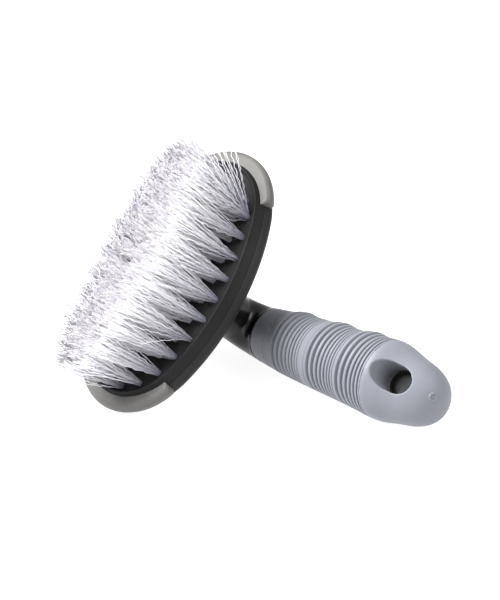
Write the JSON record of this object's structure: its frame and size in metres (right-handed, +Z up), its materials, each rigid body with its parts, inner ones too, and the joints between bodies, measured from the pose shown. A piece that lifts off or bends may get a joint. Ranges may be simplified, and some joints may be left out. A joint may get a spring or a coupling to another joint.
{
  "type": "wheel brush",
  "caption": "Oval-headed wheel brush with crimped white bristles, soft end bumpers, a bent neck and a ribbed soft grip with a hanging hole, lying on its side.",
  "frame": {"origin": "centre of the bounding box on the floor, the brush lying on its lower bumper and its grip", "axes": "+Z up, +Y along the handle away from the head, +X towards the side the bristles point to"},
  "size_m": [0.1184, 0.1702, 0.1127],
  "materials": {
    "head_black": "matte moulded",
    "neck_black": "gloss",
    "grip_grey": "satin soft-touch",
    "bumper_grey": "satin soft-touch",
    "bristle_white": "crimped filament",
    "steel": "bright wire"
  },
  "bodies": {
    "root": {"bristle_block": "head_black", "back_shell": "head_black", "bumper_upper": "bumper_grey", "bumper_lower": "bumper_grey", "handle_core": "neck_black", "grip_sleeve": "grip_grey", "tufts_outer_ring": "bristle_white", "tufts_second_ring": "bristle_white", "tufts_third_ring": "bristle_white", "tufts_inner_ring": "bristle_white", "tufts_centre_row": "bristle_white", "anchors_outer_ring": "steel", "anchors_second_ring": "steel", "anchors_third_ring": "steel", "anchors_inner_ring": "steel", "anchors_centre_row": "steel", "head_screws": "steel", "neck_screw": "steel"}
  },
  "joints": []
}
